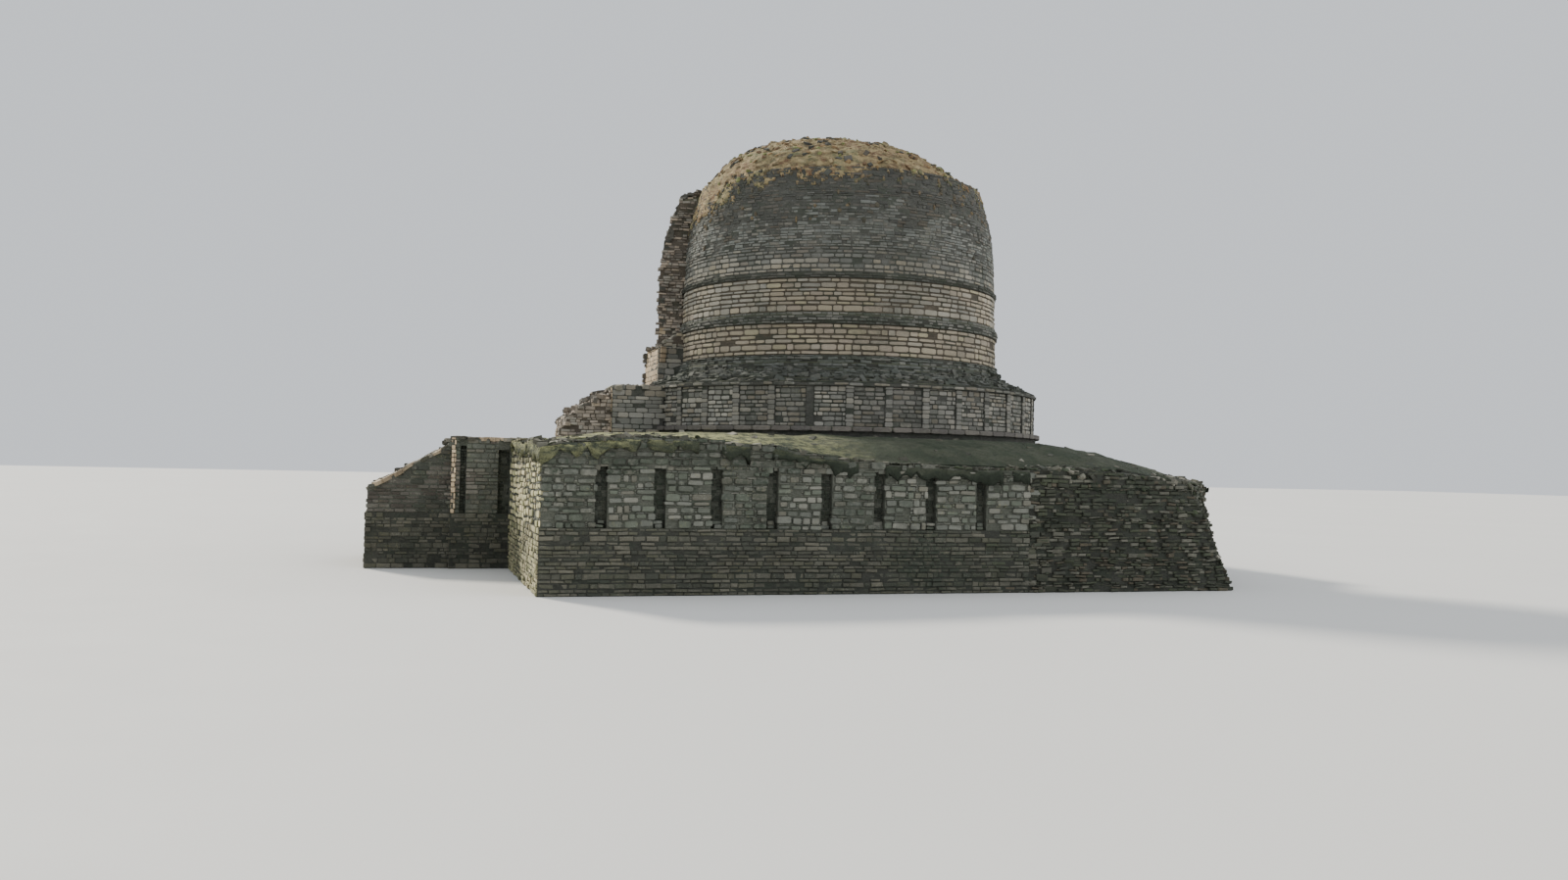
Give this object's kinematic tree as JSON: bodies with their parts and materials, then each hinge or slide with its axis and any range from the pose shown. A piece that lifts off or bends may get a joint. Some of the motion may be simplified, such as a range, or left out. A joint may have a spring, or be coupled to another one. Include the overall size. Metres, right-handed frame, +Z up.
{
  "type": "ruined stupa",
  "caption": "Ruined stone stupa: square podium with a flight of steps, low round drum with a ruined upper flight, and a tall banded dome under a cap of earth.",
  "frame": {"origin": "on the dome's vertical axis, at the lowest ground the walls stand on", "axes": "+X along the front, to the right and away from the steps; +Y from the front to the back; +Z up"},
  "size_m": [39.07, 33.0317, 21.2453],
  "materials": {
    "dark_footing_rubble": "rough rubble, weathered",
    "olive_earth_fill": "earth and small stones, moss stained",
    "grey_schist_facing": "rough dressed schist blocks and thin packing slabs, lichen stained",
    "fallen_corner_rubble": "rough rubble laid in ragged courses, dark and weathered",
    "broken_brown_core": "broken rubble core, rough",
    "brown_grey_drum_facing": "rough dressed stone, weathered",
    "dark_mossy_string": "worn dark masonry, moss stained",
    "ochre_band_blocks": "large dressed blocks, ochre patina",
    "grey_ochre_band_blocks": "large dressed blocks, grey and ochre patina",
    "small_grey_courses": "small squared stones, weathered",
    "dark_dome_rubble": "rough rubble, weathered",
    "ochre_cap_earth": "earth and small stones, lichen and moss stained"
  },
  "bodies": {
    "root": {"front_footing": "dark_footing_rubble", "right_footing": "dark_footing_rubble", "back_footing": "dark_footing_rubble", "left_footing": "dark_footing_rubble", "podium_core": "olive_earth_fill", "front_wall": "grey_schist_facing", "right_wall": "grey_schist_facing", "back_wall": "grey_schist_facing", "left_wall_back": "grey_schist_facing", "left_wall_front": "grey_schist_facing", "fallen_corner": "fallen_corner_rubble", "stair_footing": "dark_footing_rubble", "stair_flank_front": "grey_schist_facing", "stair_flank_back": "grey_schist_facing", "stair_landing": "grey_schist_facing", "stair_core": "broken_brown_core", "drum_plinth": "brown_grey_drum_facing", "drum_wall": "brown_grey_drum_facing", "drum_coping": "brown_grey_drum_facing", "drum_core": "broken_brown_core", "upper_flank_front": "brown_grey_drum_facing", "upper_flank_back": "brown_grey_drum_facing", "upper_stair_core": "broken_brown_core", "dome_core": "broken_brown_core", "dome_berm": "dark_mossy_string", "lower_band": "ochre_band_blocks", "lower_string": "dark_mossy_string", "upper_band": "grey_ochre_band_blocks", "upper_string": "dark_mossy_string", "small_courses": "small_grey_courses", "dome_rubble": "dark_dome_rubble", "dome_cap": "ochre_cap_earth", "foot_block": "grey_ochre_band_blocks", "rib_foot": "grey_ochre_band_blocks", "standing_rib": "broken_brown_core", "tread_01": "grey_schist_facing", "tread_02": "grey_schist_facing", "tread_03": "grey_schist_facing", "tread_04": "grey_schist_facing", "tread_05": "grey_schist_facing", "tread_06": "grey_schist_facing", "tread_07": "grey_schist_facing", "tread_08": "grey_schist_facing", "tread_09": "grey_schist_facing", "tread_10": "grey_schist_facing"}
  },
  "joints": []
}
